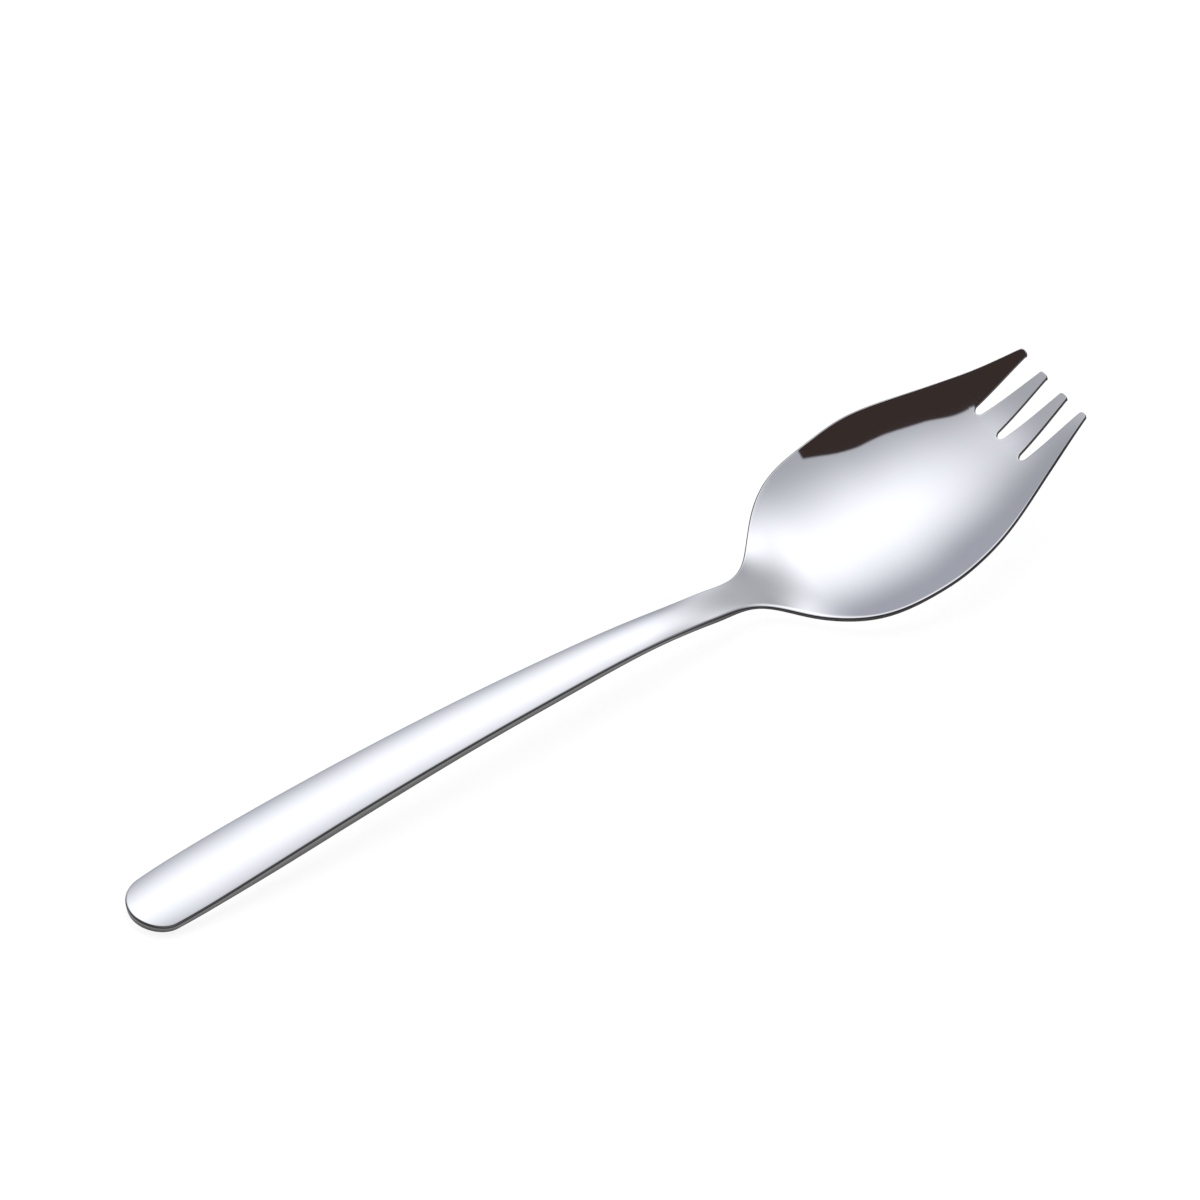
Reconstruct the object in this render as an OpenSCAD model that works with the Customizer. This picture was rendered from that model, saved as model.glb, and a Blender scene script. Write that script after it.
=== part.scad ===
// Salad spork with four tines, stamped from one sheet of polished stainless steel.
// Millimetres. X runs from the handle's end to the tines, Y to the left, Z up.
// The origin lies on the table, under the middle of the spork's length.
// The sheet is drawn as one lofted shell and divided at flat cuts into handle, neck, bowl and tines.

/* [Handle] */
// Length from the handle's end to the narrowest point of the neck
handle_len = 114.6; // [95:0.1:140]
// Width of the handle at its widest point
handle_w = 13; // [9:0.1:16]
// Distance of the widest point from the handle's end
handle_widest_at = 13; // [10:0.5:30]
// Radius of the handle's flanks at the widest point
handle_flank_r = 330; // [150:10:800]
// Width of the handle at its end, before the end is rounded
handle_end_w = 11.6; // [8:0.1:15]
// Length of the rounded end
end_round_len = 5.2; // [3.5:0.1:8]
// Thickness of the handle at its end
end_t = 1.85; // [1.4:0.05:2.6]
// Greatest thickness of the handle
handle_t = 2.4; // [1.6:0.05:3]
// Distance of the greatest thickness from the handle's end
handle_thick_at = 37; // [20:1:60]
// Height of the crown across the handle's top face, towards the neck
handle_crown = 0.5; // [0:0.05:0.7]
// Height of the crown at the handle's end, which rests on its two corners
end_crown = 0.75; // [0.3:0.05:0.9]
// Height of the middle of the end's underside above the table
end_lift = 0.05; // [0:0.05:0.3]
// Radius along the handle's edges
handle_edge_r = 0.45; // [0.1:0.05:0.6]

/* [Arch] */
// Height of the arch's crest above the table
crest_h = 7.55; // [6:0.05:12]
// Distance of the crest from the narrowest point of the neck
crest_back = 36.5; // [28:0.5:46]
// Radius of the arch at its crest
crest_r = 570; // [250:5:1500]
// Rise of the handle at its end, in degrees
end_rise = 7.2; // [5:0.1:12]

/* [Neck] */
// Width of the neck at its narrowest point
neck_w = 6.9; // [5:0.1:8]
// Radius of the neck's flanks at the narrowest point
neck_flank_r = 250; // [120:10:600]
// Thickness of the neck
neck_t = 1.6; // [1.2:0.05:2.4]
// Length of the neck's solid behind the narrowest point
neck_back = 9; // [4:0.5:16]
// Length of the neck's solid ahead of the narrowest point
neck_front = 6; // [3:0.5:7]
// Height of the top face where the neck's solid meets the bowl
neck_h = 4.1; // [3:0.05:6]
// Fall of the neck towards the bowl, in degrees
neck_fall = 12.5; // [9:0.5:17]

/* [Bowl] */
// Width of the bowl's top face at its widest point
bowl_w = 40.2; // [34:0.1:46]
// Distance from the narrowest point of the neck to the widest point of the bowl
bowl_run = 38.5; // [35:0.5:44]
// Radius of the outline at the bowl's widest point
bowl_side_r = 27; // [20:0.5:40]
// Distance from the narrowest point of the neck to the steepest flare of the shoulders
shoulder_run = 15.5; // [14:0.1:18]
// Width across the shoulders at their steepest flare
shoulder_w = 18.6; // [15:0.1:23]
// Flare of the shoulders at their steepest, in degrees from the long axis
shoulder_angle = 49.5; // [40:0.5:55]
// Thickness of the bowl
bowl_t = 0.9; // [0.8:0.05:1.6]
// Distance from the narrowest point of the neck to where the sheet is as thin as the bowl
bowl_t_run = 11; // [9:0.5:18]
// Distance from the narrowest point of the neck to the bowl's lowest point
bowl_low_run = 24.5; // [21:0.5:30]
// Radius of the bowl's keel at its lowest point
bowl_low_r = 30; // [24:1:45]
// Greatest depth of the dish below the rim
dish_depth = 4.15; // [3:0.05:6]
// Distance from the narrowest point of the neck to the greatest depth
dish_deep_run = 42.5; // [37:0.5:46]
// Radius of the dish's depth curve at its greatest depth
dish_deep_r = 25; // [15:1:40]
// Distance from the narrowest point of the neck to the start of the dish
dish_start_run = 9.5; // [7.5:0.5:12]
// Distance from the narrowest point of the neck to the steepest part of the back wall
back_wall_run = 18.5; // [16:0.5:21]
// Depth of the dish at the steepest part of the back wall
back_wall_depth = 1.15; // [0.6:0.05:2]
// Slope of the dish's depth there, in degrees
back_wall_slope = 21; // [14:0.5:27]
// Power of the dish's and the crown's profile across the sheet: 2 is round, more is flatter in the middle
dish_power = 2.3; // [2:0.1:3]
// Radius along the edges of the bowl and the tines
head_edge_r = 0.4; // [0.1:0.05:0.5]

/* [Tines] */
// Distance from the narrowest point of the neck to the tips
head_len = 71.7; // [64:0.1:82]
// Length of the tines, from the slots' roots to the tips
tine_len = 11.5; // [8:0.1:16]
// Width of the slots at their rounded roots
slot_root_w = 1.7; // [1:0.05:2.4]
// Width of the slots at the tips
slot_tip_w = 4.3; // [3:0.05:5.5]
// Width of the inner tines at the slots' roots
inner_root_w = 4.7; // [3.5:0.05:6]
// Width of the inner tines at the tips
inner_tip_w = 1.5; // [0.8:0.05:2.4]
// Width of the outer tines at the tips
outer_tip_w = 1.3; // [0.8:0.05:2.4]
// Taper of the outer edges at the tips, in degrees
tip_taper = 18.5; // [12:0.5:24]
// Height of the keel at the slots' roots above the table
root_h = 9.3; // [7:0.05:12]
// Rise of the keel at the slots' roots, in degrees
root_rise = 22; // [16:0.5:28]
// Height of the middle of the tips above the table
tip_h = 15.3; // [12:0.05:20]
// Rise of the tines at the tips, in degrees
tip_rise = 29.5; // [24:0.5:36]
// Depth of the dish that is left at the tips
tip_dish = 0.75; // [0.2:0.05:1.4]
// Fall of the dish's depth at the tips, in degrees
tip_fade = 10.5; // [4:0.5:14]
// Thickness of the tines at the tips
tine_t = 0.85; // [0.7:0.05:1.5]
// Length of the rounding at the outer tines' tips
outer_tip_round = 0.6; // [0.4:0.05:1.2]
// Length of the rounding at the inner tines' tips
inner_tip_round = 0.3; // [0.2:0.05:1.2]
// How much shorter the inner tines are
inner_setback = 0; // [0:0.05:1]

/* [Hidden] */

// Rings of the loft: spacing along the handle, the neck, the bowl and the tines
handle_step = 5;
neck_step = 2;
bowl_step = 1.6;
tine_step = 1.6;
// Spans across the top face, and steps round a rounded end, a tip, an edge and a slot's root
face_spans = 17;
tine_spans = 6;
end_steps = 8;
tip_steps = 4;
edge_steps = 2;
root_steps = 4;
// Angle at which a slot's rounded root starts, so that neighbouring tines keep a flat between them
root_start = 14;

// Stations along the spork, measured from the handle's end
total_len = handle_len + head_len;
crest_at = handle_len - crest_back;
neck_from = handle_len - neck_back;
neck_to = handle_len + neck_front;
root_at = total_len - tine_len;
root_r = slot_root_w / 2;
root_centre = root_at + root_r * cos(root_start);

// Spacing of the slots, and the spread of the outer tines
slot_root_pitch = slot_root_w + inner_root_w;
slot_tip_pitch = slot_tip_w + inner_tip_w;
tip_spread = 2 * (slot_tip_pitch + slot_tip_w / 2 + outer_tip_w);

// Curves along the spork as knots [station, value, slope, curvature]
half_width = [
    [0, handle_end_w / 2, (handle_w - handle_end_w) / handle_widest_at, 0],
    [handle_widest_at, handle_w / 2, 0, -1 / handle_flank_r],
    [handle_len, neck_w / 2, 0, 1 / neck_flank_r],
    [handle_len + shoulder_run, shoulder_w / 2, tan(shoulder_angle), 0],
    [handle_len + bowl_run, bowl_w / 2, 0, -1 / bowl_side_r],
    [total_len, tip_spread / 2, -tan(tip_taper), 0]
];
keel = [
    [0, end_t + end_lift, tan(end_rise), 0],
    [crest_at, crest_h, 0, -1 / crest_r],
    [neck_to, neck_h, -tan(neck_fall), 0],
    [handle_len + bowl_low_run, bowl_t, 0, 1 / bowl_low_r],
    [root_at, root_h, tan(root_rise), 0],
    [total_len, tip_h, tan(tip_rise), 0]
];
dish = [
    [0, -end_crown, 0, 0],
    [neck_from, -handle_crown, 0, 0],
    [handle_len + dish_start_run, 0, 0, 0],
    [handle_len + back_wall_run, back_wall_depth, tan(back_wall_slope), 0],
    [handle_len + dish_deep_run, dish_depth, 0, -1 / dish_deep_r],
    [total_len, tip_dish, -tan(tip_fade), 0]
];
thickness = [
    [0, end_t, 0, 0],
    [handle_thick_at, handle_t, 0, 0],
    [crest_at, neck_t, 0, 0],
    [handle_len, neck_t, 0, 0],
    [handle_len + bowl_t_run, bowl_t, 0, 0],
    [root_at, bowl_t, 0, 0],
    [total_len, tine_t, 0, 0]
];
edge_radius = [
    [0, handle_edge_r, 0, 0],
    [neck_from, handle_edge_r, 0, 0],
    [handle_len + bowl_t_run, head_edge_r, 0, 0],
    [total_len, head_edge_r, 0, 0]
];

// Quintic between two knots, smooth to its second derivative
function span(a, b, s) =
    let (
        d = b[0] - a[0],
        u = max(0, min(1, (s - a[0]) / d)),
        u3 = u * u * u,
        ease = u3 * (10 - 15 * u + 6 * u * u)
    )
    a[1] * (1 - ease) + b[1] * ease
    + a[2] * d * (u - u3 * (6 - 8 * u + 3 * u * u))
    + b[2] * d * u3 * (-4 + 7 * u - 3 * u * u)
    + a[3] * d * d * u * u * pow(1 - u, 3) / 2
    + b[3] * d * d * u3 * pow(1 - u, 2) / 2;

function curve(knots, s, i = 0) =
    i >= len(knots) - 2 || s < knots[i + 1][0]
        ? span(knots[i], knots[i + 1], s)
        : curve(knots, s, i + 1);

function slope(knots, s) = (curve(knots, s + 0.01) - curve(knots, s - 0.01)) / 0.02;

// Height of the top face: the keel, with the dish or the crown across it
function top_z(s, y) =
    curve(keel, s) + curve(dish, s) * pow(abs(y) / curve(half_width, s), dish_power);

function top_grad(s, y) =
    let (
        w = curve(half_width, s),
        d = curve(dish, s),
        p = dish_power,
        v = abs(y) / w
    )
    [
        slope(keel, s) + pow(v, p) * (slope(dish, s) - p * d * slope(half_width, s) / w),
        sign(y) * p * d * pow(v, p - 1) / w
    ];

// Factor that closes a rounded end over its last stretch, with p = 0 at the end
function round_off(p, length) = p >= length ? 1 : sqrt(max(0, 1 - pow(1 - p / length, 2)));

// Outside of the blank in plan
function outer_edge(s) = curve(half_width, s) * round_off(s, end_round_len);

// Slots between the tines, with rounded roots
function along_tines(s) = (s - root_at) / tine_len;

function slot_half(s) =
    let (w = slot_root_w + (slot_tip_w - slot_root_w) * along_tines(s))
    s >= root_centre ? w / 2 : w / 2 * sqrt(max(0, 1 - pow((root_centre - s) / root_r, 2)));

function slot_mid(s) = slot_root_pitch + (slot_tip_pitch - slot_root_pitch) * along_tines(s);

// Sides of a tine on the left, from the middle outwards, before and after its tip is rounded
function tine_sides(outer, s) =
    outer
        ? [slot_mid(s) + slot_half(s), outer_edge(s)]
        : [slot_half(s), slot_mid(s) - slot_half(s)];

function tine_end(outer) = outer ? total_len : total_len - inner_setback;

function tine_round(outer) = outer ? outer_tip_round : inner_tip_round;

function tine_edges(outer, s) =
    let (
        sides = tine_sides(outer, s),
        mid = (sides[0] + sides[1]) / 2,
        half = (sides[1] - sides[0]) / 2 * round_off(tine_end(outer) - s, tine_round(outer))
    )
    [mid - half, mid + half];

// Sheet's edge at one point of the outline, from the top face round to the underside.
// n is the outward direction in plan, and room is what the edge's radius may take up.
function edge(s, y, n, room = 10) =
    let (
        g = top_grad(s, y),
        m = g * n,
        f = sqrt(1 + m * m),
        t = curve(thickness, s) * sqrt(1 + g * g) / f,
        r = min(curve(edge_radius, s), 0.45 * t, room),
        out = [n[0], n[1], m] / f,
        up = [-n[0] * m, -n[1] * m, 1] / f,
        rim = [s, y, top_z(s, y)] - r * out
    )
    concat(
        [for (i = [0:edge_steps]) let (a = 90 - 90 * i / edge_steps)
            rim - r * up + r * (cos(a) * out + sin(a) * up)],
        [for (i = [0:edge_steps]) let (a = -90 * i / edge_steps)
            rim - (t - r) * up + r * (cos(a) * out + sin(a) * up)]
    );

// Point of the underside below a point of the top face
function below(p) =
    let (
        g = top_grad(p[0], p[1]),
        q = curve(thickness, p[0]) * sqrt(1 + g * g) / (1 + g[1] * g[1])
    )
    [p[0], p[1] + g[1] * q, p[2] - q];

// Closed ring through the sheet between a right and a left edge
function ring(right, left, spans) =
    let (
        last = len(left) - 1,
        face = [for (i = [1:spans - 1])
            let (p = right[0] + (left[0] - right[0]) * i / spans)
            [p[0], p[1], top_z(p[0], p[1])]]
    )
    concat(
        [right[0]], face, left,
        [for (i = [spans - 2:-1:0]) below(face[i])],
        [for (i = [last:-1:1]) right[i]]
    );

function unit(v) = v / norm(v);

// Rings across the whole blank, square to the axis where the blank is cut
function blank_ring(s, cut) =
    let (
        w = outer_edge(s),
        k = cut ? 0 : (outer_edge(s + 0.002) - outer_edge(s - 0.002)) / 0.004,
        n = unit([-k, 1])
    )
    ring(edge(s, -w, [n[0], -n[1]]), edge(s, w, n), face_spans);

// Rings across a tine, whose edge radius fades out where a slot's root meets the bowl's cut
function tine_ring(outer, s, cut) =
    let (
        y = tine_edges(outer, s),
        sides = tine_sides(outer, s),
        k = cut ? [0, 0] : (tine_edges(outer, s + 0.002) - tine_edges(outer, s - 0.002)) / 0.004,
        right = unit([k[0], -1]),
        left = unit([-k[1], 1]),
        widest = 0.4 * (sides[1] - sides[0]),
        room = cut ? widest : 0.95 * (s - root_at)
    )
    ring(edge(s, y[0], right, min(widest, room / max(0.1, right[0]))),
         edge(s, y[1], left, min(widest, room / max(0.1, left[0]))), tine_spans);

// Single edge that closes a tine's rounded tip
function tip_edge(outer) =
    let (
        s = tine_end(outer),
        sides = tine_sides(outer, s)
    )
    edge(s, tine_edges(outer, s)[0], [1, 0], 0.4 * (sides[1] - sides[0]));

// Single edge that closes the handle's rounded end
end_edge = edge(0, 0, [-1, 0]);

// Middle of the spork's real length, between the rounded end and the tips that reach furthest
tips_at = max([for (outer = [false, true]) for (p = tip_edge(outer)) p[0]]);
middle = (min([for (p = end_edge) p[0]]) + tips_at) / 2;

// Where a ring's points gather on the single edge that closes a rounded end
function gather(spans) =
    let (last = 2 * edge_steps + 1)
    concat(
        [for (i = [0:spans - 1]) 0],
        [for (i = [0:last]) i],
        [for (i = [1:spans - 1]) last],
        [for (i = [last:-1:1]) i]
    );

// Evenly spaced stations from a to b
function stations(a, b, step) =
    let (n = max(1, ceil((b - a) / step)))
    [for (i = [0:n]) a + (b - a) * i / n];

// Solid through the rings, with a flat cut at each end that no edge closes
module loft(rings, spans, start = [], end = []) {
    n = len(rings[0]);
    last = len(rings) - 1;
    g = gather(spans);
    e = len(start);
    base = e + len(rings) * n;
    points = concat(start, [for (r = rings) each r], end);
    sides = [for (i = [0:last - 1], j = [0:n - 1])
        let (
            k = (j + 1) % n,
            a = e + i * n + j,
            b = e + i * n + k
        )
        each [[a, b, b + n], [a, b + n, a + n]]];
    first = e > 0
        ? [for (j = [0:n - 1])
            let (k = (j + 1) % n)
            each concat(
                [[e + k, e + j, g[j]]],
                g[j] == g[k] ? [] : [[e + k, g[j], g[k]]]
            )]
        : [[for (j = [n - 1:-1:0]) j]];
    final = len(end) > 0
        ? [for (j = [0:n - 1])
            let (
                k = (j + 1) % n,
                a = e + last * n + j,
                b = e + last * n + k
            )
            each concat(
                [[a, b, base + g[j]]],
                g[j] == g[k] ? [] : [[b, base + g[k], base + g[j]]]
            )]
        : [[for (j = [0:n - 1]) e + last * n + j]];
    translate([-middle, 0, 0])
        polyhedron(points, concat(sides, first, final), convexity = 6);
}

// Stretch of the blank between two flat cuts
module blank(from, to, step) {
    at = stations(from, to, step);
    last = len(at) - 1;
    loft([for (i = [0:last]) blank_ring(at[i], i == 0 || i == last)], face_spans);
}

module handle() {
    rounded = [for (i = [1:end_steps - 1]) end_round_len * (1 - cos(90 * i / end_steps))];
    at = concat(rounded, stations(end_round_len, neck_from, handle_step));
    last = len(at) - 1;
    color("silver")
        loft([for (i = [0:last]) blank_ring(at[i], i == last)], face_spans, start = end_edge);
}

module neck() {
    color("lightsteelblue")
        blank(neck_from, neck_to, neck_step);
}

module bowl() {
    color("gainsboro")
        blank(neck_to, root_at, bowl_step);
}

// Tine on the left, from the bowl's cut to its rounded tip
module tine(outer) {
    tip_at = tine_end(outer);
    round_len = tine_round(outer);
    root = [for (i = [0:root_steps - 1])
        root_centre - root_r * cos(root_start + (90 - root_start) * i / root_steps)];
    straight = stations(root_centre, tip_at - round_len, tine_step);
    rounded = [for (i = [1:tip_steps - 1]) tip_at - round_len * (1 - sin(90 * i / tip_steps))];
    at = concat(root, straight, rounded);
    loft([for (i = [0:len(at) - 1]) tine_ring(outer, at[i], i == 0)], tine_spans,
         end = tip_edge(outer));
}

module outer_tine_left() {
    color("darkgray")
        tine(true);
}

module inner_tine_left() {
    color("lightgray")
        tine(false);
}

module inner_tine_right() {
    color("lightgray")
        mirror([0, 1, 0]) tine(false);
}

module outer_tine_right() {
    color("darkgray")
        mirror([0, 1, 0]) tine(true);
}

handle();
neck();
bowl();
outer_tine_left();
inner_tine_left();
inner_tine_right();
outer_tine_right();
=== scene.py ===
# Polished steel salad spork on a pale floor, seen from above its handle.
# One seamless skin stands for the part's seven solids, drawn from the same kind of curves.

import math

import bpy
import numpy as np
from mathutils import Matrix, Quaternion, Vector


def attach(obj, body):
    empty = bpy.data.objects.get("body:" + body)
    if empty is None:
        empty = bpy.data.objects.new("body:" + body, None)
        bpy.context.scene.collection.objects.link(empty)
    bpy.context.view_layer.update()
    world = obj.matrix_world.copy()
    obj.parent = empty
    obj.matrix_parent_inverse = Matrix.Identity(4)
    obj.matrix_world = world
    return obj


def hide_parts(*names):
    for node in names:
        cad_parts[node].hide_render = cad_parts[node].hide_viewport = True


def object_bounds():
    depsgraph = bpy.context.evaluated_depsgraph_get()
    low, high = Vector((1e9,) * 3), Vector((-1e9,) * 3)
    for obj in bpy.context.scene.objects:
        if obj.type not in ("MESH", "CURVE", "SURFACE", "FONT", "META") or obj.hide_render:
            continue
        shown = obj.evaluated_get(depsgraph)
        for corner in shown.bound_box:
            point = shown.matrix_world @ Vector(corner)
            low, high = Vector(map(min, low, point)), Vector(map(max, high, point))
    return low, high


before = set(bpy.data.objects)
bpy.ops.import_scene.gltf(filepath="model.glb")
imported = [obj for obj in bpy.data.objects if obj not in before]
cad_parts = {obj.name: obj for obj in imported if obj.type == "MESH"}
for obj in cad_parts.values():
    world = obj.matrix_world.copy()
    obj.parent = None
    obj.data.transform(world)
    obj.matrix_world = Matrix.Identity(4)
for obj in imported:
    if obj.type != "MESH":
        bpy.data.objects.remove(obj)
cad_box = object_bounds()

MM = 0.001
SCENE = bpy.context.scene

# Camera: direction in degrees, the point it looks at, the width of the picture there
CAMERA_AZIMUTH = -33.56
CAMERA_ELEVATION = 48.03
CAMERA_ROLL = -1.04
CAMERA_DISTANCE = 8.5
CAMERA_AIM = (6.22 * MM, 7.48 * MM, 10.0 * MM)
PICTURE_WIDTH = 200.07 * MM
SENSOR_WIDTH = 36.0

# Sizes of the spork in millimetres, close to those of the part's source
HANDLE_LEN = 114.6
HANDLE_W = 12.65
HANDLE_WIDEST_AT = 13.0
HANDLE_FLANK_R = 330.0
HANDLE_END_W = 11.3
END_ROUND_LEN = 5.2
END_T = 1.85
HANDLE_T = 2.95
HANDLE_THICK_AT = 37.0
HANDLE_CROWN = 0.5
END_CROWN = 0.75
END_LIFT = 0.2
CREST_H = 7.75
CREST_BACK = 36.5
CREST_R = 570.0
END_RISE = 7.2
NECK_W = 6.6
NECK_FLANK_R = 250.0
CREST_T = 2.3
NECK_T = 1.6
NECK_BACK = 9.0
NECK_FRONT = 7.0
NECK_H = 3.88
NECK_FALL = 12.5
BOWL_W = 40.2
BOWL_RUN = 38.5
BOWL_SIDE_R = 27.0
SHOULDER_RUN = 15.5
SHOULDER_W = 18.6
SHOULDER_ANGLE = 49.5
BOWL_T = 0.9
BOWL_T_RUN = 11.0
BOWL_LOW_RUN = 24.5
BOWL_LOW_R = 30.0
DISH_DEPTH = 4.15
DISH_DEEP_RUN = 42.5
DISH_DEEP_R = 25.0
DISH_START_RUN = 9.5
BACK_WALL_RUN = 18.5
BACK_WALL_DEPTH = 1.15
BACK_WALL_SLOPE = 21.0
DISH_POWER = 2.3
HEAD_LEN = 71.9
TINE_LEN = 11.7
SLOT_ROOT_W = 1.7
SLOT_TIP_W = 4.3
INNER_ROOT_W = 4.7
INNER_TIP_W = 1.5
OUTER_TIP_W = 1.3
TIP_TAPER = 18.5
ROOT_H = 9.3
ROOT_RISE = 22.0
TIP_H = 15.3
TIP_RISE = 29.5
TIP_DISH = 0.75
TIP_FADE = 10.5
TINE_T = 0.85
OUTER_TIP_ROUND = 0.45
INNER_TIP_ROUND = 0.3

# Finish of the sheet's edge: its rounding down and inwards, the most of the thickness that a
# rounding takes, the share of it that the ground rim keeps, and how far the skin stands out in plan
HANDLE_EDGE_R = 0.4
HEAD_EDGE_R = 0.3
TINE_EDGE_R = 0.1
NEAR_EDGE_RUN = 0.7
FAR_EDGE_RUN = 0.25
ROUNDING_SHARE = 0.45
RIM_SHARE = 0.8
TINE_RIM_SHARE = 0.62
SKIN_OUT = 0.1

# Stations along the spork from the handle's end, and the tines' spacing
TOTAL_LEN = HANDLE_LEN + HEAD_LEN
CREST_AT = HANDLE_LEN - CREST_BACK
NECK_FROM = HANDLE_LEN - NECK_BACK
NECK_TO = HANDLE_LEN + NECK_FRONT
ROOT_AT = TOTAL_LEN - TINE_LEN
ROOT_R = SLOT_ROOT_W / 2
ROOT_PITCH = SLOT_ROOT_W + INNER_ROOT_W
TIP_PITCH = SLOT_TIP_W + INNER_TIP_W
TIP_SPREAD = 2 * (TIP_PITCH + SLOT_TIP_W / 2 + OUTER_TIP_W)

# Density of the skin
STEP = 0.6
OUTER_SPANS = 14
INNER_SPANS = 10
SPANS = (OUTER_SPANS, INNER_SPANS, INNER_SPANS, OUTER_SPANS)
EDGE_STEPS = 8
END_STEPS = 24
TIP_STEPS = 10
ROOT_STEPS = 8
GATHER_LEN = 26.0

# Steps for taking slopes of the curves along the spork and of the outline
CURVE_NUDGE = 0.01
PLAN_NUDGE = 0.0005

# How far round the sheet's edge a point counts: 1 at the top of the flank, this at its foot,
# and 0 at the underside, with a late fall between
LOWER_SHARE = 0.66
LOWER_FALL = 8


def tan_deg(angle):
    return math.tan(math.radians(angle))


# Curves along the spork as knots (station, value, slope, curvature)
HALF_WIDTH = np.array([
    (0, HANDLE_END_W / 2, (HANDLE_W - HANDLE_END_W) / HANDLE_WIDEST_AT, 0),
    (HANDLE_WIDEST_AT, HANDLE_W / 2, 0, -1 / HANDLE_FLANK_R),
    (HANDLE_LEN, NECK_W / 2, 0, 1 / NECK_FLANK_R),
    (HANDLE_LEN + SHOULDER_RUN, SHOULDER_W / 2, tan_deg(SHOULDER_ANGLE), 0),
    (HANDLE_LEN + BOWL_RUN, BOWL_W / 2, 0, -1 / BOWL_SIDE_R),
    (TOTAL_LEN, TIP_SPREAD / 2, -tan_deg(TIP_TAPER), 0),
])
KEEL = np.array([
    (0, END_T + END_LIFT, tan_deg(END_RISE), 0),
    (CREST_AT, CREST_H, 0, -1 / CREST_R),
    (NECK_TO, NECK_H, -tan_deg(NECK_FALL), 0),
    (HANDLE_LEN + BOWL_LOW_RUN, BOWL_T, 0, 1 / BOWL_LOW_R),
    (ROOT_AT, ROOT_H, tan_deg(ROOT_RISE), 0),
    (TOTAL_LEN, TIP_H, tan_deg(TIP_RISE), 0),
])
DISH = np.array([
    (0, -END_CROWN, 0, 0),
    (NECK_FROM, -HANDLE_CROWN, 0, 0),
    (HANDLE_LEN + DISH_START_RUN, 0, 0, 0),
    (HANDLE_LEN + BACK_WALL_RUN, BACK_WALL_DEPTH, tan_deg(BACK_WALL_SLOPE), 0),
    (HANDLE_LEN + DISH_DEEP_RUN, DISH_DEPTH, 0, -1 / DISH_DEEP_R),
    (TOTAL_LEN, TIP_DISH, -tan_deg(TIP_FADE), 0),
])
THICKNESS = np.array([
    (0, END_T, 0, 0),
    (HANDLE_THICK_AT, HANDLE_T, 0, 0),
    (CREST_AT, CREST_T, 0, 0),
    (HANDLE_LEN, NECK_T, 0, 0),
    (HANDLE_LEN + BOWL_T_RUN, BOWL_T, 0, 0),
    (ROOT_AT, BOWL_T, 0, 0),
    (TOTAL_LEN, TINE_T, 0, 0),
])
EDGE_RADIUS = np.array([
    (0, HANDLE_EDGE_R, 0, 0),
    (NECK_FROM, HANDLE_EDGE_R, 0, 0),
    (HANDLE_LEN + BOWL_T_RUN, HEAD_EDGE_R, 0, 0),
    (HANDLE_LEN + BOWL_RUN, HEAD_EDGE_R, 0, 0),
    (ROOT_AT, TINE_EDGE_R, 0, 0),
    (TOTAL_LEN, TINE_EDGE_R, 0, 0),
])
NEAR_RUN = np.array([
    (0, HANDLE_EDGE_R, 0, 0),
    (NECK_FROM, HANDLE_EDGE_R, 0, 0),
    (HANDLE_LEN + BOWL_T_RUN, NEAR_EDGE_RUN, 0, 0),
    (HANDLE_LEN + BOWL_RUN, NEAR_EDGE_RUN, 0, 0),
    (ROOT_AT + TINE_LEN / 2, TINE_EDGE_R, 0, 0),
    (TOTAL_LEN, TINE_EDGE_R, 0, 0),
])
FAR_RUN = np.array([
    (0, HANDLE_EDGE_R, 0, 0),
    (NECK_FROM, HANDLE_EDGE_R, 0, 0),
    (HANDLE_LEN + BOWL_T_RUN, FAR_EDGE_RUN, 0, 0),
    (HANDLE_LEN + BOWL_RUN, FAR_EDGE_RUN, 0, 0),
    (ROOT_AT + TINE_LEN / 2, TINE_EDGE_R, 0, 0),
    (TOTAL_LEN, TINE_EDGE_R, 0, 0),
])
# Share of the sheet's thickness that its ground rim keeps
RIM = np.array([
    (0, 1, 0, 0),
    (NECK_FROM, 1, 0, 0),
    (NECK_TO, RIM_SHARE, 0, 0),
    (HANDLE_LEN + BACK_WALL_RUN, 1, 0, 0),
    (HANDLE_LEN + BOWL_RUN, RIM_SHARE, 0, 0),
    (ROOT_AT, TINE_RIM_SHARE, 0, 0),
    (TOTAL_LEN, TINE_RIM_SHARE, 0, 0),
])


def curve(knots, s):
    """Value of a curve at one station or an array of them: quintics between the knots."""
    s = np.asarray(s, float)
    i = np.clip(np.searchsorted(knots[:, 0], s, side="right") - 1, 0, len(knots) - 2)
    at_a, a, slope_a, bend_a = np.moveaxis(knots[i], -1, 0)
    at_b, b, slope_b, bend_b = np.moveaxis(knots[i + 1], -1, 0)
    d = at_b - at_a
    u = np.clip((s - at_a) / d, 0, 1)
    ease = u**3 * (10 - 15 * u + 6 * u * u)
    return (
        a * (1 - ease)
        + b * ease
        + slope_a * d * (u - u**3 * (6 - 8 * u + 3 * u * u))
        + slope_b * d * u**3 * (-4 + 7 * u - 3 * u * u)
        + bend_a * d * d * u * u * (1 - u) ** 3 / 2
        + bend_b * d * d * u**3 * (1 - u) ** 2 / 2
    )


def slope(knots, s):
    """Slope of a curve along the spork."""
    return (curve(knots, s + CURVE_NUDGE) - curve(knots, s - CURVE_NUDGE)) / (2 * CURVE_NUDGE)


def top_z(s, y):
    """Height of the top face: the keel, with the dish or the crown across it."""
    return curve(KEEL, s) + curve(DISH, s) * (np.abs(y) / curve(HALF_WIDTH, s)) ** DISH_POWER


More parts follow.
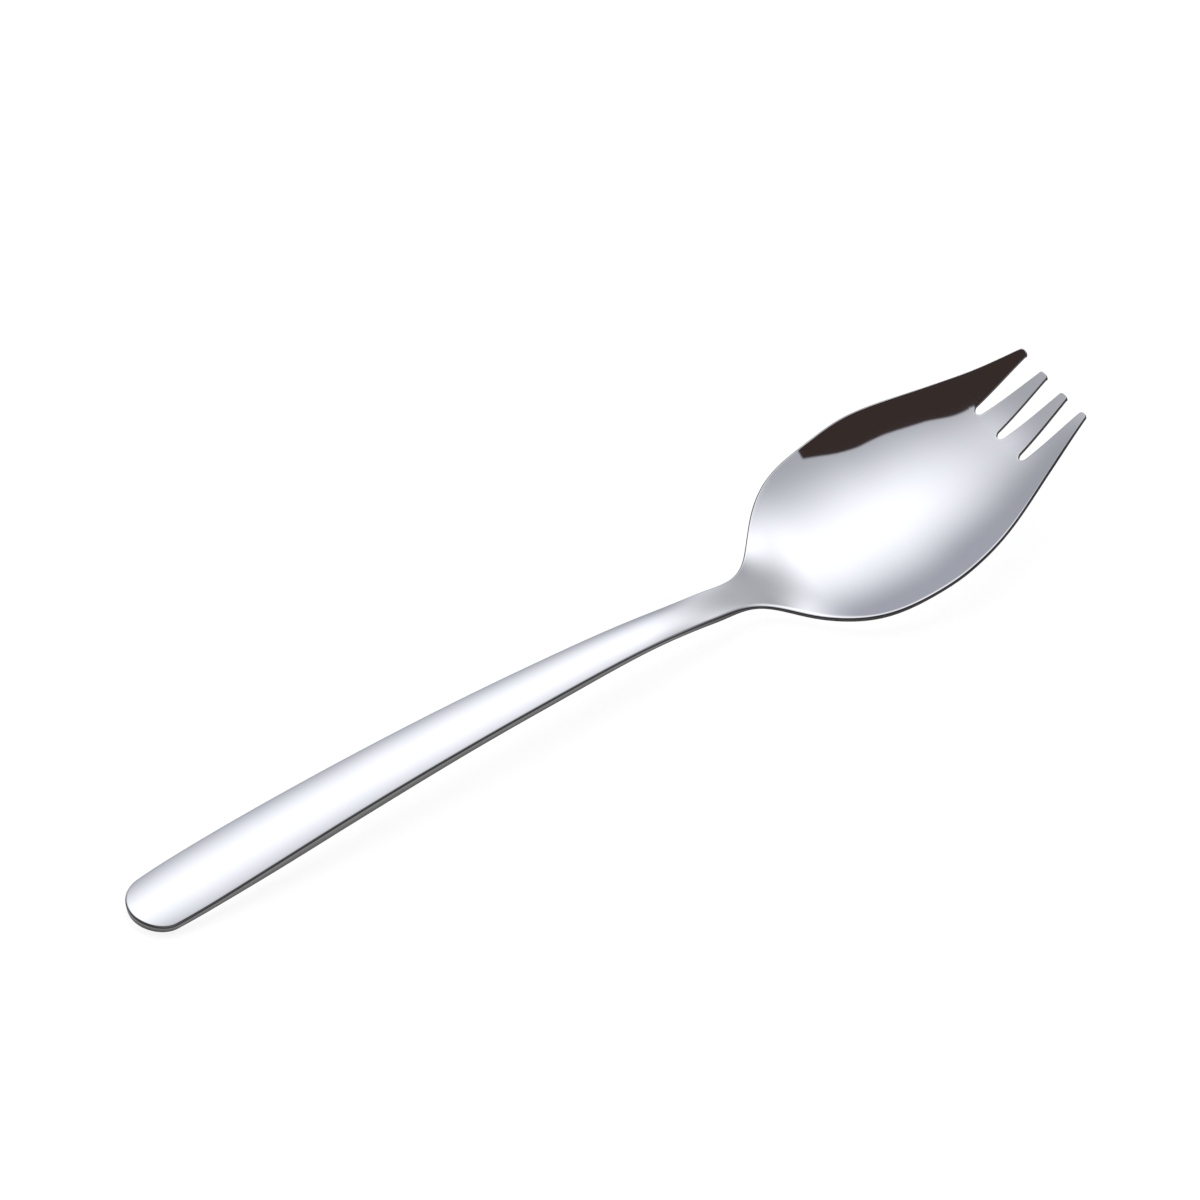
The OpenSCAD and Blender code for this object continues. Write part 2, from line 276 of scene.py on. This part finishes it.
def top_grad(s, y):
    """Slope of the top face along and across the spork."""
    w = curve(HALF_WIDTH, s)
    d = curve(DISH, s)
    v = np.abs(y) / w
    widening = DISH_POWER * d * slope(HALF_WIDTH, s) / w
    along = slope(KEEL, s) + v**DISH_POWER * (slope(DISH, s) - widening)
    return along, np.sign(y) * DISH_POWER * d * v ** (DISH_POWER - 1) / w


def round_off(p, length):
    """Factor that closes a rounded end over its last stretch, with p = 0 at the end."""
    return math.sqrt(max(0.0, 1 - (1 - min(p / length, 1)) ** 2))


def outer_edge(s):
    """Half the width of the blank in plan."""
    return (float(curve(HALF_WIDTH, s)) + SKIN_OUT) * round_off(s, END_ROUND_LEN)


def slot_half(s):
    """Half the width of a slot, with its rounded root."""
    w = SLOT_ROOT_W + (SLOT_TIP_W - SLOT_ROOT_W) * (s - ROOT_AT) / TINE_LEN
    return (w / 2 - SKIN_OUT) * round_off(s - ROOT_AT, ROOT_R)


def slot_mid(s):
    """Distance of an outer slot's middle from the spork's middle."""
    return ROOT_PITCH + (TIP_PITCH - ROOT_PITCH) * (s - ROOT_AT) / TINE_LEN


def tine_edges(outer, s):
    """Inner and outer side of a tine on the left."""
    if outer:
        near, far = slot_mid(s) + slot_half(s), outer_edge(s)
        rounding = OUTER_TIP_ROUND
    else:
        near, far = slot_half(s), slot_mid(s) - slot_half(s)
        rounding = INNER_TIP_ROUND
    half = (far - near) / 2 * round_off(TOTAL_LEN - s, rounding)
    return (near + far) / 2 - half, (near + far) / 2 + half


def edge(s, y, nx, ny, run=TINE_EDGE_R):
    """Sheet's edge at a point of the outline, from the top face round to the underside.

    The outline faces (nx, ny) there, and the upper rounding reaches inwards by run.
    """
    gx, gy = top_grad(s, y)
    inside = run / math.sqrt(1 + (gx * nx + gy * ny) ** 2)
    px = s - inside * nx
    py = y - inside * ny
    gx, gy = top_grad(px, py)
    rise = gx * nx + gy * ny
    length = math.sqrt(1 + rise * rise)
    depth = curve(RIM, s) * curve(THICKNESS, s) * math.sqrt(1 + gx * gx + gy * gy) / length
    radius = min(float(curve(EDGE_RADIUS, s)), ROUNDING_SHARE * depth)
    out = np.array((nx, ny, rise)) / length
    up = np.array((-nx * rise, -ny * rise, 1)) / length
    rim = np.array((px, py, float(top_z(px, py))))
    turn = np.radians(90 * np.arange(EDGE_STEPS + 1) / EDGE_STEPS)[:, None]
    flat = run * np.sin(turn)
    steep = radius * np.cos(turn)
    upper = rim - radius * up + (run * flat * out + radius * steep * up) / np.hypot(flat, steep)
    foot = rim + (run - radius) * out - (depth - radius) * up
    lower = foot + radius * (np.cos(turn) * out - np.sin(turn) * up)
    return np.concatenate([upper, lower])


def below(p):
    """Points of the underside below points of the top face."""
    gx, gy = top_grad(p[:, 0], p[:, 1])
    drop = curve(THICKNESS, p[:, 0]) * np.sqrt(1 + gx * gx + gy * gy) / (1 + gy * gy)
    return np.stack([p[:, 0], p[:, 1] + gy * drop, p[:, 2] - drop], -1)


class Skin:
    """Closed skin of the sheet: points, how far each lies round the sheet's edge, and faces."""

    def __init__(self):
        self.points = []
        self.edge_share = []
        self.faces = []

    def add(self, points, shares=0.0):
        """Takes in points and returns their numbers."""
        first = len(self.points)
        self.points.extend(points)
        self.edge_share.extend(np.broadcast_to(shares, len(points)))
        return list(range(first, len(self.points)))

    def add_edge(self, points):
        """Takes in a line of points round the sheet's edge."""
        turn = np.linspace(0, 1, EDGE_STEPS + 1)
        return self.add(points, np.concatenate([turn, LOWER_SHARE * (1 - turn**LOWER_FALL)]))

    def ring(self, right, left, face):
        """Four lines of points round the sheet: top face, underside, left edge, right edge."""
        right_line = self.add_edge(right)
        left_line = self.add_edge(left)
        top = [right_line[0], *self.add(face), left_line[0]]
        bottom = [right_line[-1], *self.add(below(face)), left_line[-1]]
        return {"top": top, "bottom": bottom, "left": left_line, "right": right_line}

    def strip(self, a, b):
        """Faces between two lines of points, triangles where the lines meet."""
        for i in range(len(a) - 1):
            corners = tuple(dict.fromkeys((a[i], a[i + 1], b[i + 1], b[i])))
            if len(corners) > 2:
                self.faces.append(corners)

    def join(self, a, b):
        """Skin between two rings, a before b along the spork."""
        self.strip(b["top"], a["top"])
        self.strip(a["bottom"], b["bottom"])
        self.strip(b["left"], a["left"])
        self.strip(a["right"], b["right"])

    def closing(self, points, spans):
        """Ring of a single edge, which closes a rounded end."""
        line = self.add_edge(points)
        top = [line[0]] * (spans + 1)
        bottom = [line[-1]] * (spans + 1)
        return {"top": top, "bottom": bottom, "left": line, "right": line}


def across(start, end, shares):
    """Points of the top face between two rim points."""
    p = start + (end - start) * np.asarray(shares)[:, None]
    p[:, 2] = top_z(p[:, 0], p[:, 1])
    return p


def plan_slope(f, s):
    """Slope of an outline in plan."""
    return (f(s + PLAN_NUDGE) - f(s - PLAN_NUDGE)) / (2 * PLAN_NUDGE)


def blank_edges(s):
    """Right and left edge of the blank."""
    w = outer_edge(s)
    k = plan_slope(outer_edge, s)
    size = math.hypot(1, k)
    near = edge(s, -w, -k / size, -1 / size, float(curve(NEAR_RUN, s)))
    far = edge(s, w, -k / size, 1 / size, float(curve(FAR_RUN, s)))
    return near, far


def tine_side_edges(outer, side, s):
    """Right and left edge of a tine, on the left (side 1) or the right (side -1)."""
    near, far = tine_edges(outer, s)
    k_near = plan_slope(lambda q: tine_edges(outer, q)[0], s)
    k_far = plan_slope(lambda q: tine_edges(outer, q)[1], s)
    near_size = math.hypot(1, k_near)
    far_size = math.hypot(1, k_far)
    run = float(curve(FAR_RUN if side > 0 else NEAR_RUN, s)) if outer else TINE_EDGE_R
    third = (far - near) / 3
    near_edge = edge(s, side * near, k_near / near_size, -side / near_size)
    far_edge = edge(s, side * far, -k_far / far_size, side / far_size, min(run, third))
    return (near_edge, far_edge) if side > 0 else (far_edge, near_edge)


def spread(a, b, step):
    """Evenly spaced stations after a, up to b."""
    n = math.ceil((b - a) / step)
    return [a + (b - a) * i / n for i in range(1, n + 1)]


def eased(start, length, n):
    """Stations over a rounded stretch, close together at its start."""
    return [start + length * (1 - math.cos(math.pi / 2 * i / n)) for i in range(1, n + 1)]


def quarter(n):
    """Sines of n even steps through a quarter turn, the last left out."""
    return [math.sin(math.pi / 2 * i / n) for i in range(1, n)]


def columns(s):
    """Places of the points across the face, which gather on the slots' middles near the roots."""
    reach = ROOT_PITCH / float(curve(HALF_WIDTH, s))
    stops = (-1, -reach, 0, reach, 1)
    tied = np.concatenate([
        np.linspace(stops[i], stops[i + 1], SPANS[i], endpoint=False) for i in range(4)
    ])
    even = np.linspace(-1, 1, sum(SPANS), endpoint=False)
    u = min(max((s - ROOT_AT + GATHER_LEN) / GATHER_LEN, 0), 1)
    share = u * u * (3 - 2 * u)
    return ((even * (1 - share) + tied * share + 1) / 2)[1:]


def spork_skin():
    """Skin of the whole spork, ring by ring from the handle's end to the tips."""
    skin = Skin()
    last_before_root = ROOT_AT - 4 * TINE_EDGE_R

    # Handle, neck and bowl
    stations = eased(0.0, END_ROUND_LEN, END_STEPS) + spread(END_ROUND_LEN, last_before_root, STEP)
    ring = skin.closing(edge(0.0, 0.0, -1.0, 0.0, HANDLE_EDGE_R), sum(SPANS))
    for s in stations:
        right, left = blank_edges(s)
        following = skin.ring(right, left, across(right[0], left[0], columns(s)))
        skin.join(ring, following)
        ring = following

    # Ring at the slots' roots, where the sheet's edge comes up in each slot's middle
    right, left = blank_edges(ROOT_AT)
    roots = [edge(ROOT_AT, y, 1.0, 0.0) for y in (-ROOT_PITCH, 0.0, ROOT_PITCH)]
    stops = [right, *roots, left]
    root_ring = {
        "right": skin.add_edge(right),
        "left": skin.add_edge(left),
    }
    walls = [root_ring["right"], *[skin.add_edge(e) for e in roots], root_ring["left"]]
    tops = []
    bottoms = []
    for i, n in enumerate(SPANS):
        face = across(stops[i][0], stops[i + 1][0], np.arange(1, n) / n)
        tops.append([walls[i][0], *skin.add(face), walls[i + 1][0]])
        bottoms.append([walls[i][-1], *skin.add(below(face)), walls[i + 1][-1]])
    root_ring["top"] = [tops[0][0]] + [p for line in tops for p in line[1:]]
    root_ring["bottom"] = [bottoms[0][0]] + [p for line in bottoms for p in line[1:]]
    skin.join(ring, root_ring)

    # Tines, from right to left
    for i, (outer, side) in enumerate(((True, -1), (False, -1), (False, 1), (True, 1))):
        ring = {"top": tops[i], "bottom": bottoms[i], "right": walls[i], "left": walls[i + 1]}
        rounding = OUTER_TIP_ROUND if outer else INNER_TIP_ROUND
        stations = eased(ROOT_AT, ROOT_R, ROOT_STEPS)
        stations += spread(ROOT_AT + ROOT_R, TOTAL_LEN - rounding, STEP)
        stations += [TOTAL_LEN - rounding * (1 - p) for p in quarter(TIP_STEPS)]
        shares = np.arange(1, SPANS[i]) / SPANS[i]
        for s in stations:
            right, left = tine_side_edges(outer, side, s)
            following = skin.ring(right, left, across(right[0], left[0], shares))
            skin.join(ring, following)
            ring = following
        middle = side * sum(tine_edges(outer, TOTAL_LEN)) / 2
        skin.join(ring, skin.closing(edge(TOTAL_LEN, middle, 1.0, 0.0), SPANS[i]))
    return skin


def make_spork():
    """The spork's mesh in metres, its handle's end where the frame has it."""
    skin = spork_skin()
    points = np.array(skin.points)
    points[:, 0] += cad_box[0][0] / MM - points[:, 0].min()
    mesh = bpy.data.meshes.new("spork")
    mesh.from_pydata((points * MM).tolist(), [], skin.faces)
    mesh.polygons.foreach_set("use_smooth", [True] * len(mesh.polygons))
    share = mesh.attributes.new("edge_share", "FLOAT", "POINT")
    share.data.foreach_set("value", np.array(skin.edge_share, np.float32))
    spork = bpy.data.objects.new("spork", mesh)
    SCENE.collection.objects.link(spork)
    normals = spork.modifiers.new("face_normals", "WEIGHTED_NORMAL")
    normals.mode = "FACE_AREA"
    normals.weight = 80
    return spork


def new_material(name):
    """Empty node material and its output."""
    material = bpy.data.materials.new(name)
    material.use_nodes = True
    material.node_tree.nodes.clear()
    return material, material.node_tree.nodes.new("ShaderNodeOutputMaterial")


def add_node(tree, kind, inputs=None, **settings):
    """Node with its settings, and its inputs given as values or as the outputs that feed them."""
    node = tree.nodes.new(kind)
    for name, value in settings.items():
        setattr(node, name, value)
    for name, value in (inputs or {}).items():
        if isinstance(value, bpy.types.NodeSocket):
            tree.links.new(value, node.inputs[name])
        else:
            node.inputs[name].default_value = value
    return node


def math_node(tree, operation, *values):
    """Result of a sum on values or outputs."""
    return add_node(tree, "ShaderNodeMath", dict(enumerate(values)), operation=operation).outputs[0]


def band(tree, place, start, end):
    """0 before start and 1 after end, eased between them."""
    return add_node(tree, "ShaderNodeMapRange", {
        "Value": place, "From Min": start, "From Max": end,
    }, interpolation_type="SMOOTHSTEP").outputs["Result"]


def mix(tree, share, a, b, blend="MIX"):
    """Colour a where the share is 0, and b or the blend of both where it is 1."""
    return add_node(tree, "ShaderNodeMix", {
        "Factor": share, 6: a, 7: b,
    }, data_type="RGBA", blend_type=blend).outputs[2]


def ramp(tree, share, *stops):
    """Colour by a share, from stops of (position, colour) in rising order."""
    node = add_node(tree, "ShaderNodeValToRGB", {"Fac": share})
    elements = node.color_ramp.elements
    for element, (position, colour) in zip(elements, (stops[0], stops[-1])):
        element.position = position
        element.color = colour
    for position, colour in stops[1:-1]:
        elements.new(position).color = colour
    return node.outputs["Color"]


# Steel: the range of a noise, and the colours and roughness at its two ends
NOISE_RANGE = (0.3, 0.7)
FACE_TONES = ((0.67, 0.675, 0.685, 1.0), (0.69, 0.69, 0.695, 1.0))
# The edge tones are painted shade: dark reflections of the surroundings and shadow at the foot, painted
# into the edge's colour and varied by the polishing lines
HANDLE_EDGE_PAINTED_SHADE_TONES = ((0.155, 0.15, 0.147, 1.0), (0.2, 0.194, 0.19, 1.0))
BOWL_EDGE_PAINTED_SHADE_TONES = ((0.05, 0.046, 0.045, 1.0), (0.08, 0.075, 0.072, 1.0))
FACE_ROUGHNESS = (0.03, 0.06)
EDGE_ROUGHNESS = (0.32, 0.44)
# Polishing lines per metre along, across and up, their depth, and the clouds of the haze
LINE_SCALE = (60.0, 2400.0, 2400.0)
LINE_DEPTH = 0.02 * MM
HAZE_SCALE = 90.0
# Shares round the edge over which the ground finish and its painted shade begin, and where the painted
# shade in its rounded corners is darkest
GROUND_AND_SHADE_FROM = 0.18
GROUND_AND_SHADE_TO = 0.45
CORNER_FROM = 0.4
CORNER_TO = 0.75
CORNER_PAINTED_SHADE = (0.35, 0.35, 0.35, 1.0)
FULL_TONE = (1.0, 1.0, 1.0, 1.0)
# Stretch of the spork over which the handle's painted edge shade gives way to the bowl's darker painted
# shade
BOWL_TONE_FROM = 10.0 * MM
BOWL_TONE_TO = 40.0 * MM


def polished_steel():
    """Mirror-polished steel with faint polishing lines, and a rougher ground edge round the sheet whose
    dark colour is painted shade: dark reflections and shadow painted in, darkest at its rounded corners.
    """
    material, output = new_material("polished_steel")
    tree = material.node_tree
    place = add_node(tree, "ShaderNodeTexCoord").outputs["Object"]

    def noise_value(noise, ends):
        """Value between two ends by a noise."""
        return add_node(tree, "ShaderNodeMapRange", {
            "Value": noise,
            "From Min": NOISE_RANGE[0],
            "From Max": NOISE_RANGE[1],
            "To Min": ends[0],
            "To Max": ends[1],
        }).outputs["Result"]

    lines_place = add_node(tree, "ShaderNodeMapping", {"Vector": place, "Scale": LINE_SCALE})
    lines = add_node(tree, "ShaderNodeTexNoise", {
        "Vector": lines_place.outputs["Vector"], "Scale": 1.0, "Detail": 3.0, "Roughness": 0.6,
    }).outputs["Fac"]
    haze = add_node(tree, "ShaderNodeTexNoise", {
        "Vector": place, "Scale": HAZE_SCALE, "Detail": 4.0, "Roughness": 0.55,
    }).outputs["Fac"]
    share = add_node(tree, "ShaderNodeAttribute", attribute_name="edge_share").outputs["Fac"]
    ground_and_painted_shade = band(tree, share, GROUND_AND_SHADE_FROM, GROUND_AND_SHADE_TO)
    along_spork = add_node(tree, "ShaderNodeSeparateXYZ", {"Vector": place}).outputs["X"]
    by_bowl = band(tree, along_spork, BOWL_TONE_FROM, BOWL_TONE_TO)

    face_tone = ramp(tree, haze, *zip(NOISE_RANGE, FACE_TONES))
    # The edge colours are painted shade and reflection, varied by the polishing lines' noise
    handle_edge_painted_shade = ramp(tree, lines, *zip(NOISE_RANGE, HANDLE_EDGE_PAINTED_SHADE_TONES))
    bowl_edge_painted_shade = ramp(tree, lines, *zip(NOISE_RANGE, BOWL_EDGE_PAINTED_SHADE_TONES))
    # Painted shade: the edge's rounded corners are made darker still, standing for dark reflections there
    corner_stops = (CORNER_FROM, CORNER_PAINTED_SHADE), (CORNER_TO, CORNER_PAINTED_SHADE), (1.0, FULL_TONE)
    corners = ramp(tree, share, *corner_stops)
    handle_edge_painted_shade = mix(tree, 1.0, handle_edge_painted_shade, corners, "MULTIPLY")
    edge_painted_shade = mix(tree, by_bowl, handle_edge_painted_shade, bowl_edge_painted_shade)
    # Where the ground finish takes over, the face tone gives way to the painted edge shade
    colour = mix(tree, ground_and_painted_shade, face_tone, edge_painted_shade)

    roughness = add_node(tree, "ShaderNodeMix", {
        "Factor": ground_and_painted_shade,
        "A": noise_value(haze, FACE_ROUGHNESS),
        "B": noise_value(lines, EDGE_ROUGHNESS),
    }, data_type="FLOAT").outputs[0]
    bump = add_node(tree, "ShaderNodeBump", {"Height": lines, "Strength": 0.02, "Distance": LINE_DEPTH})
    steel = add_node(tree, "ShaderNodeBsdfPrincipled", {
        "Base Color": colour,
        "Metallic": 1.0,
        "Roughness": roughness,
        "Normal": bump.outputs["Normal"],
    })
    tree.links.new(steel.outputs["BSDF"], output.inputs["Surface"])
    return material


# Floor: half its side and its place just under the spork, its colour, and what lifts it to white
FLOOR_REACH = 15.0
FLOOR_DROP = 0.02 * MM
FLOOR_TONE = (0.4, 0.4, 0.4, 1.0)
FLOOR_LIFT = 0.835


def make_floor():
    """Wide pale floor, which keeps the shadow and is clear from below."""
    mesh = bpy.data.meshes.new("floor")
    corners = [(x * FLOOR_REACH, y * FLOOR_REACH, 0) for x, y in ((-1, -1), (1, -1), (1, 1), (-1, 1))]
    mesh.from_pydata(corners, [], [(0, 1, 2, 3)])
    floor = bpy.data.objects.new("floor", mesh)
    floor.location.z = -FLOOR_DROP
    SCENE.collection.objects.link(floor)

    material, output = new_material("pale_floor")
    tree = material.node_tree
    matt = add_node(tree, "ShaderNodeBsdfDiffuse", {"Color": FLOOR_TONE})
    path = add_node(tree, "ShaderNodeLightPath").outputs
    seen = math_node(tree, "MAXIMUM", path["Is Camera Ray"], path["Is Glossy Ray"])
    seen = math_node(tree, "MAXIMUM", seen, path["Is Transmission Ray"])
    lift = math_node(tree, "MULTIPLY", seen, FLOOR_LIFT)
    glow = add_node(tree, "ShaderNodeEmission", {"Color": FULL_TONE, "Strength": lift})
    both = add_node(tree, "ShaderNodeAddShader", {0: matt.outputs[0], 1: glow.outputs[0]})
    clear = add_node(tree, "ShaderNodeBsdfTransparent")
    behind = add_node(tree, "ShaderNodeNewGeometry").outputs["Backfacing"]
    sided = add_node(tree, "ShaderNodeMixShader", {0: behind, 1: both.outputs[0], 2: clear.outputs[0]})
    tree.links.new(sided.outputs[0], output.inputs["Surface"])
    mesh.materials.append(material)


def make_camera():
    """Camera with a long lens, at the viewing direction."""
    a = math.radians(CAMERA_AZIMUTH)
    e = math.radians(CAMERA_ELEVATION)
    back = Vector((math.sin(a) * math.cos(e), -math.cos(a) * math.cos(e), math.sin(e)))
    data = bpy.data.cameras.new("camera")
    data.sensor_width = SENSOR_WIDTH
    data.lens = SENSOR_WIDTH * CAMERA_DISTANCE / PICTURE_WIDTH
    camera = bpy.data.objects.new("camera", data)
    camera.location = Vector(CAMERA_AIM) + back * CAMERA_DISTANCE
    camera.rotation_mode = "QUATERNION"
    roll = Quaternion((0, 0, 1), math.radians(CAMERA_ROLL))
    camera.rotation_quaternion = (-back).to_track_quat("-Z", "Y") @ roll
    SCENE.collection.objects.link(camera)
    SCENE.camera = camera


# Studio round the spork, in degrees from straight up towards the right and away from the camera
STUDIO_RIGHT = Vector((0.834, -0.552, 0.0))
STUDIO_AWAY = Vector((0.552, 0.834, 0.0))
OVERHEAD = (1.55, 1.56, 1.64, 1.0)
# Walls, each over the one before: its direction, where it begins and is whole, and its colour
WALLS = (
    (120.4, 31.6, 71.5, (0.50, 0.517, 0.585, 1.0)),
    (-70.6, -35.0, 8.0, (0.545, 0.56, 0.61, 1.0)),
    (204.1, -1.0, 41.0, (0.46, 0.468, 0.51, 1.0)),
    (24.8, 26.0, 48.0, (0.07, 0.07, 0.085, 1.0)),
)
# Dark stretch towards the camera: its colour, the height of its edge with steps along it, each step's
# direction, beginning, end and rise, the softness of the edge, and where the stretch ends
DARK = (0.052, 0.036, 0.033, 1.0)
DARK_EDGE = -2.9
DARK_EDGE_STEPS = ((0.0, -7.0, 2.5, 1.4), (180.0, 16.0, 28.5, 5.6), (0.0, 9.8, 14.0, -4.0))
DARK_SOFTNESS = 0.6
DARK_END = (28.0, 42.0)
# Low wall at both ends of the dark stretch, and the degrees from straight up where it takes over
LOW_WALL = (0.58, 0.585, 0.62, 1.0)
LOW_WALL_RANGE = (44.0, 58.0)


def make_studio():
    """World light: a broad white panel overhead, grey walls, and a dark stretch towards the camera."""
    world = bpy.data.worlds.new("studio")
    world.use_nodes = True
    tree = world.node_tree
    tree.nodes.clear()
    output = tree.nodes.new("ShaderNodeOutputWorld")
    towards = add_node(tree, "ShaderNodeTexCoord").outputs["Generated"]
    height = add_node(tree, "ShaderNodeSeparateXYZ", {"Vector": towards}).outputs["Z"]
    degrees = math_node(tree, "DEGREES", math_node(tree, "ARCCOSINE", height))
    level = add_node(tree, "ShaderNodeVectorMath", {0: towards, 1: (1.0, 1.0, 0.0)}, operation="MULTIPLY")
    flat = add_node(tree, "ShaderNodeVectorMath", {0: level.outputs["Vector"]}, operation="NORMALIZE")
    spot = add_node(tree, "ShaderNodeVectorMath", {
        0: flat.outputs["Vector"], "Scale": degrees,
    }, operation="SCALE").outputs["Vector"]

    def along(turn):
        """Degrees from straight up along a direction turned from the right towards away."""
        angle = math.radians(turn)
        direction = STUDIO_RIGHT * math.cos(angle) + STUDIO_AWAY * math.sin(angle)
        return add_node(tree, "ShaderNodeVectorMath", {
            0: spot, 1: direction,
        }, operation="DOT_PRODUCT").outputs["Value"]

    colour = OVERHEAD
    for turn, start, end, tone in WALLS:
        colour = mix(tree, band(tree, along(turn), start, end), colour, tone)

    dark_edge = DARK_EDGE
    for turn, start, end, rise in DARK_EDGE_STEPS:
        dark_edge = math_node(tree, "MULTIPLY_ADD", band(tree, along(turn), start, end), rise, dark_edge)
    below_edge = math_node(tree, "SUBTRACT", dark_edge, along(90.0))
    dark = band(tree, below_edge, -DARK_SOFTNESS, DARK_SOFTNESS)
    dark = math_node(tree, "SUBTRACT", dark, band(tree, along(-90.0), *DARK_END))
    dark_tone = mix(tree, band(tree, degrees, *LOW_WALL_RANGE), DARK, LOW_WALL)
    colour = mix(tree, dark, colour, dark_tone)

    seen = add_node(tree, "ShaderNodeLightPath").outputs["Is Camera Ray"]
    colour = mix(tree, seen, colour, FULL_TONE)
    light = add_node(tree, "ShaderNodeBackground", {"Color": colour, "Strength": 1.0})
    tree.links.new(light.outputs[0], output.inputs["Surface"])
    SCENE.world = world


make_camera()
make_studio()
make_floor()
spork = make_spork()
spork.data.materials.append(polished_steel())
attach(spork, "root")
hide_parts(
    "handle",
    "neck",
    "bowl",
    "outer_tine_left",
    "inner_tine_left",
    "inner_tine_right",
    "outer_tine_right",
)

SCENE.view_settings.view_transform = "Standard"
